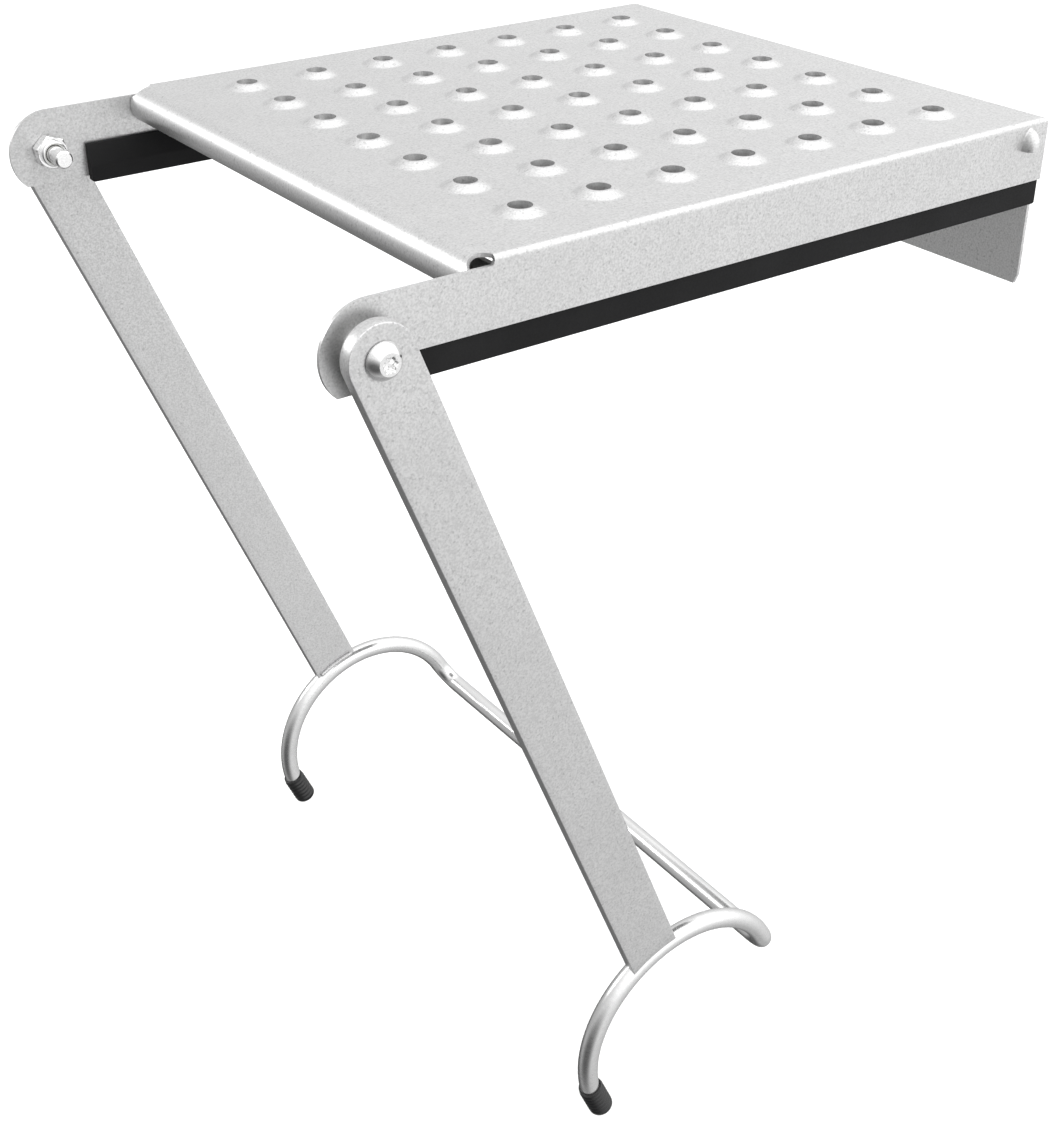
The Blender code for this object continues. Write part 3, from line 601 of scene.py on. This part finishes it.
def hookPath(sign):
    # straight inside the cap, round the hook, then a quarter bend in towards the crossbar
    start, end = np.radians(rod["start"]), np.radians(rod["end"])
    arc = onHook(np.linspace(start, end, 90), sign)
    lead = arc[0] + capLine() * np.linspace(rod["inCap"], 0, 8)[:-1, None]
    tangent = np.array((np.sin(end), 0.0, -np.cos(end)))
    turn = np.linspace(0, np.pi / 2, 18)[1:, None]
    inward = np.array((0, -sign, 0))
    corner = arc[-1] + rod["corner"] * (tangent * np.sin(turn) + inward * (1 - np.cos(turn)))
    return np.concatenate([lead, arc, corner])


def makeHookRod():
    near, far = hookPath(-1.0), hookPath(1.0)[::-1]
    bar = near[-1] + (far[0] - near[-1]) * np.linspace(0, 1, 60)[1:-1, None]
    mesh = patchMesh("rod", [tubePatch(np.concatenate([near, bar, far]), rod["radius"], 40)])
    putPiece("hookRod", mesh, "leg_frame", ["hook_rod"], rodSteel, 50)


def capPatch(sign):
    # a cup round the rod's end: its outside swells and dips in fine ribs, its foot is rounded
    r, n, soft = cap["radius"], cap["length"], cap["soft"]
    out = np.linspace(cap["ribStart"], n - soft, 200)
    ribs = r - cap["ribDepth"] * (0.5 - 0.5 * np.cos(2 * np.pi * cap["ribs"] * out / n)) ** 0.8
    turn = np.linspace(0, np.pi / 2, 9)[1:]
    wall = rod["radius"] + cap["play"]
    along = np.concatenate([[cap["liner"], 0.0, 0.0], out, n - soft + soft * np.sin(turn), [n]])
    foot = r - soft + soft * np.cos(turn) - 0.0001
    radii = np.concatenate([[wall, wall, r - cap["mouth"]], ribs, foot, [0.0]])
    axis = capLine()
    first = np.array((0.0, 1.0, 0.0))
    second = np.cross(axis, first)
    turn = np.linspace(0, 2 * np.pi, 48, endpoint=False)
    ring = first * np.cos(turn)[:, None] + second * np.sin(turn)[:, None]
    base = onHook(np.radians(rod["start"]), sign)
    return gridPatch(base + axis * along[:, None, None] + radii[:, None, None] * ring, closed=True)


def legPatches(sign):
    # rings from the bore to a frame with a round top, then a flat bar down to the hook's circle
    slope = np.radians(leg["slope"])
    run = np.array((np.sin(slope), -np.cos(slope)))
    across = np.array((run[1], -run[0]))
    half = leg["width"] / 2
    columns = np.linspace(1, -1, 9)
    turn = np.linspace(0, np.pi, 41)
    top = half * (across * np.cos(turn)[:, None] - run * np.sin(turn)[:, None])
    drop = np.linspace(0, leg["collarAt"], 6)[1:, None]
    right = -across * half + run * drop
    base = across * half * columns[::-1][1:-1, None] + run * leg["collarAt"]
    left = (across * half + run * drop)[::-1]
    outline = np.concatenate([top, right, base, left])
    unit = outline / np.linalg.norm(outline, axis=1, keepdims=True)
    part = np.array((0, 0.12, 0.35, 0.65, 0.88, 1.0))[:, None, None]
    disc = leg["bore"] * unit * (1 - part) + outline * part
    centre = np.array((pivot[0], pivot[2]))
    middle = np.array(rod["centre"]) - centre
    edges = across * half * columns[:, None]
    ahead = (middle - edges) @ run
    off = ((middle - edges) ** 2).sum(1) - ahead ** 2
    foot = ahead - np.sqrt(leg["foot"] ** 2 - off)
    part = np.linspace(0, 1, 60)[:, None]
    down = leg["collarAt"] + (foot - leg["collarAt"]) * part
    bar = edges[None] + run * down[..., None]
    y = sign * leg["inner"]

    def placed(flat):
        level = np.full(flat.shape[:2], y)
        return np.stack([centre[0] + flat[..., 0], level, centre[1] + flat[..., 1]], -1)

    return [gridPatch(placed(disc), closed=True), gridPatch(placed(bar))]


def weldPatch(sign):
    # a bead in the corner of leg and rod that swells and narrows like laid drops
    steps = np.arange(weld["steps"])
    turn = np.radians(np.linspace(weld["start"], weld["end"], weld["steps"]))
    wave = np.abs(np.sin(np.linspace(0, weld["drops"] * np.pi, weld["steps"])))
    drops = weld["radius"] + weld["swell"] * wave
    ends = np.clip(np.minimum(steps, steps[::-1]) / 6, 0.15, 1) ** 0.5
    path = onHook(turn, sign, rod["bend"] + weld["out"], leg["inner"] - weld["inside"])
    return tubePatch(path, drops * ends, 16)


makeHookRod()
for hand, sign in sides.items():
    putPiece("rodCap." + hand, patchMesh("cap", [capPatch(sign)]), "leg_frame", ["rod_cap_" + hand],
             capRubber, 60)
    face = patchMesh("leg", legPatches(sign))
    faceAlong(face, (0, -sign, 0))
    solid = thicken(face, leg["thickness"], leg["edge"], 3)
    putPiece("leg." + hand, solid, "leg_frame", ["leg_" + hand], legSteel)
    putPiece("legWeld." + hand, patchMesh("weld", [weldPatch(sign)]), "leg_frame", ["leg_weld_" + hand],
             legSteel, 60)
print("leg frame made")


bolt = {"seat": 0.1902, "radius": 0.005, "head": 0.00875, "headHeight": 0.0055, "flat": 0.0052,
        "fullness": 0.3, "rim": 0.0007, "length": 0.04, "tip": 0.0009,
        "socket": 0.0031, "lobe": 0.00048, "lobes": 6, "socketDepth": 0.0026}
nut = {"seat": 0.1738, "flats": 0.017, "height": 0.0064, "collar": 0.0072, "collarHeight": 0.0033,
       "collarSoft": 0.0011, "bore": 0.0053, "recess": 0.0065, "recessDepth": 0.0029, "turned": 0.2}


def boltPatch(sign):
    # radius and height along the bolt's outline; inside the socket the radius swells six times round
    turn = np.linspace(0, 2 * np.pi, 96, endpoint=False)
    quarter = np.linspace(0, np.pi / 2, 14)
    h, f, r = bolt["headHeight"], bolt["flat"], bolt["rim"]
    part, full = np.linspace(0, 1, 14), bolt["fullness"]
    domeR = f + (bolt["head"] - f) * (1 - part + full * (np.cos(quarter) - 1 + part))
    domeH = r + (h - r) * (part + full * (np.sin(quarter) - part))
    s, n, tip = bolt["radius"], bolt["length"], bolt["tip"]
    radii = np.concatenate([[0, s - tip, s, s, bolt["head"] - 0.0003, bolt["head"]], domeR])
    heights = np.concatenate([[-n, -n, -n + tip, 0.0, 0.0, 0.0003], domeH])
    plain = np.broadcast_to(radii[:, None], (len(radii), 96))
    star = bolt["socket"] + bolt["lobe"] * np.cos(bolt["lobes"] * turn)
    inside = np.stack([f * 0.55 + star * 0.45, star + 0.00025, star, star * 0.97, star * 0.0])
    depth = np.array((h, h, h - 0.0002, h - bolt["socketDepth"], h - bolt["socketDepth"] - 0.0006))
    radius = np.concatenate([plain, inside])
    height = np.concatenate([heights, depth])[:, None]
    y = sign * (bolt["seat"] + height)
    points = np.stack([pivot[0] + radius * np.cos(turn), np.broadcast_to(y, radius.shape),
                       pivot[2] + radius * np.sin(turn)], -1)
    return gridPatch(points, closed=True)


def nutPatch(sign):
    # a hexagon whose corners are trimmed by a cone at both ends, then a round collar and the bore
    turn = np.linspace(0, 2 * np.pi, 144, endpoint=False)
    sector = (turn + np.pi / 6) % (np.pi / 3) - np.pi / 6
    hexagon = nut["flats"] / 2 / np.cos(sector)
    n, c = nut["height"], nut["collarHeight"]
    depth = np.array((0.0, 0.0, 0.0003, 0.0008, 0.0016, n - 0.0016, n - 0.0008, n - 0.0003, n))
    # the cone's radius at each depth; 0.0120 lies outside the hexagon and trims nothing
    cone = np.array((0.0084, 0.0087, 0.0090, 0.0096, 0.0120, 0.0120, 0.0096, 0.0090, 0.0084))
    body = np.minimum(hexagon[None], cone[:, None])
    quarter = np.linspace(0, np.pi / 2, 6)
    collar, soft = nut["collar"], nut["collarSoft"]
    collarR = np.concatenate([[collar, collar], collar - soft + soft * np.cos(quarter)])
    collarH = np.concatenate([[n, n + 0.0002], n + c - soft + soft * np.sin(quarter)])
    insideR = np.array((nut["recess"], nut["recess"], nut["bore"], nut["bore"]))
    insideR[0] = min(insideR[0], collarR[-1])    # never wider than the collar's round
    shelf = n + c - nut["recessDepth"]
    insideH = np.array((n + c, shelf, shelf, 0.0))
    tail = np.broadcast_to(np.concatenate([collarR, insideR])[:, None], (len(collarR) + 4, 144))
    radius = np.concatenate([body, tail, body[:1]])
    height = np.concatenate([depth, collarH, insideH, [0.0]])[:, None]
    y = sign * (nut["seat"] - height)
    turn = turn + nut["turned"]
    points = np.stack([pivot[0] + radius * np.cos(turn), np.broadcast_to(y, radius.shape),
                       pivot[2] + radius * np.sin(turn)], -1)
    return gridPatch(points, closed=True)


rings = {    # outer radius, bore radius, height, start along the pivot, corner round
    "spacer": (0.011, 0.0053, 0.0038, 0.1764, 0.0004),
    "insert": (0.0062, 0.0053, 0.0026, 0.1644, 0.0002),
    "bushFlange": (0.011, 0.0053, 0.0016, 0.1805, 0.0003),
    "bushSleeve": (0.0065, 0.0053, 0.0076, 0.1820, 0.0002),
}


def ringPatch(name, sign):
    # a soft-cornered section turned about the pivot
    outer, inner, height, start, soft = rings[name]
    radii, heights = roundedRing(outer, inner, height, soft)
    return turnedPatch(radii, heights, sign, start)


for hand, sign in sides.items():
    putPiece("pivotBolt." + hand, patchMesh("bolt", [boltPatch(sign)]), "tray", ["pivot_bolt_" + hand],
             boltZinc, 40)
    putPiece("lockNut." + hand, patchMesh("nut", [nutPatch(sign)]), "tray", ["lock_nut_" + hand],
             boltZinc, 25)
    putPiece("nutInsert." + hand, patchMesh("insert", [ringPatch("insert", sign)]), "tray",
             ["nut_insert_" + hand], paleNylon)
    putPiece("pivotSpacer." + hand, patchMesh("spacer", [ringPatch("spacer", sign)]), "tray",
             ["pivot_spacer_" + hand], boltZinc)
    bush = [ringPatch(part, sign) for part in ("bushFlange", "bushSleeve")]
    putPiece("pivotBush." + hand, patchMesh("bush", bush), "leg_frame", ["pivot_bush_" + hand],
             paleNylon)
print("pivots made")


studio = {
    "floorDrop": 0.012, "floorSize": 14.0, "floorTone": (0.9, 0.9, 0.9, 1),
    "skyTilt": (0.30, -0.50, 0.81), "skyStrength": 2.2,
    # place on the ramp from below to above, brightness
    "sky": ((0.0, 0.25), (0.25, 0.27), (0.45, 0.4), (0.55, 0.46), (0.62, 0.5), (0.85, 0.85), (1.0, 1.0)),
    # direction, where the shade starts and where it is full, how deep it is
    "shades": (((0.05, 0.68, -0.73), (0.72, 0.96), 0.8), ((-0.84, -0.3, -0.45), (0.66, 0.96), 0.78)),
    "back": {"place": (-1.55, 1.42, 0.72), "aim": (-0.33, 0, 0.03), "size": 0.5, "power": 13},
}
camera = {"place": (-0.71235, -0.73846, 0.29501), "turn": (59.6142, 0.3347, -35.2711), "lens": 53.55}


def softLight(name, look):
    # a square soft box that faces its aim point
    lamp = bpy.data.lights.new(name, "AREA")
    lamp.size = look["size"]
    lamp.energy = look["power"]
    item = bpy.data.objects.new(name, lamp)
    bpy.context.scene.collection.objects.link(item)
    place, aim = np.array(look["place"]), np.array(look["aim"])
    item.location = place
    away = (place - aim) / np.linalg.norm(place - aim)
    item.rotation_euler = (np.arccos(away[2]), 0.0, np.arctan2(away[0], -away[1]))


def makeFloor():
    half = studio["floorSize"] / 2
    x, y = np.meshgrid(np.linspace(-half, half, 9), np.linspace(-half, half, 9))
    z = np.full_like(x, cadBox[0][2] - studio["floorDrop"])
    mesh = patchMesh("floor", [gridPatch(np.stack([x, y, z], -1))])
    faceAlong(mesh, (0, 0, 1))
    finish, tree, shader = newFinish("paleFloor")
    shader.inputs["Base Color"].default_value = studio["floorTone"]
    shader.inputs["Roughness"].default_value = 0.9
    mesh.materials.append(finish)
    item = bpy.data.objects.new("floor", mesh)
    bpy.context.scene.collection.objects.link(item)
    item.visible_glossy = False
    item.visible_diffuse = False


def setSky(tree):
    # soft overhead light that falls off towards the ground, a little stronger from one side
    ground = tree.nodes["Background"]
    place = tree.nodes.new("ShaderNodeTexCoord")
    height = tree.nodes.new("ShaderNodeVectorMath")
    height.operation = "DOT_PRODUCT"
    height.inputs[1].default_value = studio["skyTilt"]
    ramp = tree.nodes.new("ShaderNodeValToRGB")
    for n, (spot, value) in enumerate(studio["sky"]):
        stop = ramp.color_ramp.elements[n] if n < 2 else ramp.color_ramp.elements.new(spot)
        stop.position = spot
        stop.color = (value, value, value, 1)
    tree.links.new(place.outputs["Generated"], height.inputs[0])
    tree.links.new(rangeNode(tree, height.outputs["Value"], -1, 1, 0, 1), ramp.inputs["Fac"])
    colour = ramp.outputs["Color"]
    for toward, (low, high), depth in studio["shades"]:    # the room is dim in these directions
        side = tree.nodes.new("ShaderNodeVectorMath")
        side.operation = "DOT_PRODUCT"
        side.inputs[1].default_value = toward
        tree.links.new(place.outputs["Generated"], side.inputs[0])
        dim = rangeNode(tree, side.outputs["Value"], low, high, 1.0, 1.0 - depth)
        colour = mixNode(tree, 1.0, colour, dim, "MULTIPLY")
    tree.links.new(colour, ground.inputs["Color"])
    ground.inputs["Strength"].default_value = studio["skyStrength"]


makeFloor()
world = bpy.data.worlds.new("studio")
world.use_nodes = True
setSky(world.node_tree)
bpy.context.scene.world = world
softLight("back", studio["back"])
bpy.context.scene.view_settings.view_transform = "Standard"

view = bpy.data.cameras.new("camera")
view.lens = camera["lens"]
view.sensor_width = 36.0
view.clip_start = 0.01
eye = bpy.data.objects.new("camera", view)
eye.location = camera["place"]
eye.rotation_euler = np.radians(camera["turn"])
bpy.context.scene.collection.objects.link(eye)
bpy.context.scene.camera = eye
print("studio set")
